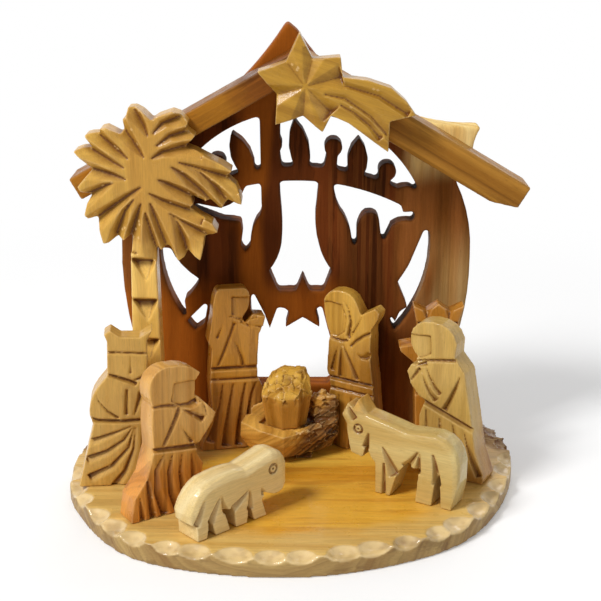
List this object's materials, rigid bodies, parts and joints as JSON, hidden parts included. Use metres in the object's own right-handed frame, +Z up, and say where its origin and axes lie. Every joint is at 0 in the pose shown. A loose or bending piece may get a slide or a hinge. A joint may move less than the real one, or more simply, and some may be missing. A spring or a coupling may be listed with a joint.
{
  "type": "nativity stable",
  "caption": "Carved olive wood nativity stable: round-windowed back panel under a pitched roof on an oval base, with palm, comet star, manger, standing figures and animals.",
  "frame": {"origin": "centre of the base's flat underside", "axes": "+Z up, +Y from the front of the base towards the back panel, +X to the right seen from the front"},
  "size_m": [0.1565, 0.1153, 0.1561],
  "materials": {
    "pale_wood": "varnished pale olive sapwood, hand carved",
    "golden_wood": "varnished golden olive wood, hand carved",
    "tan_wood": "varnished pinkish tan olive wood, hand carved",
    "red_wood": "varnished orange-brown olive heartwood, hand carved",
    "dark_wood": "varnished dark olive heartwood, scroll sawn",
    "striped_wood": "rough-split olive wood with dark stripes",
    "rough_wood": "rough-split golden olive wood"
  },
  "bodies": {
    "root": {"base": "pale_wood", "back_panel": "dark_wood", "roof_slat_left": "golden_wood", "roof_slat_right": "tan_wood", "comet_star": "pale_wood", "palm_tree": "golden_wood", "mother_figure": "golden_wood", "father_figure": "golden_wood", "crowned_king_left": "pale_wood", "hooded_shepherd": "tan_wood", "veiled_wise_man": "pale_wood", "crowned_king_right": "red_wood", "sheep": "pale_wood", "ox": "pale_wood", "manger": "striped_wood", "infant": "rough_wood"}
  },
  "joints": []
}
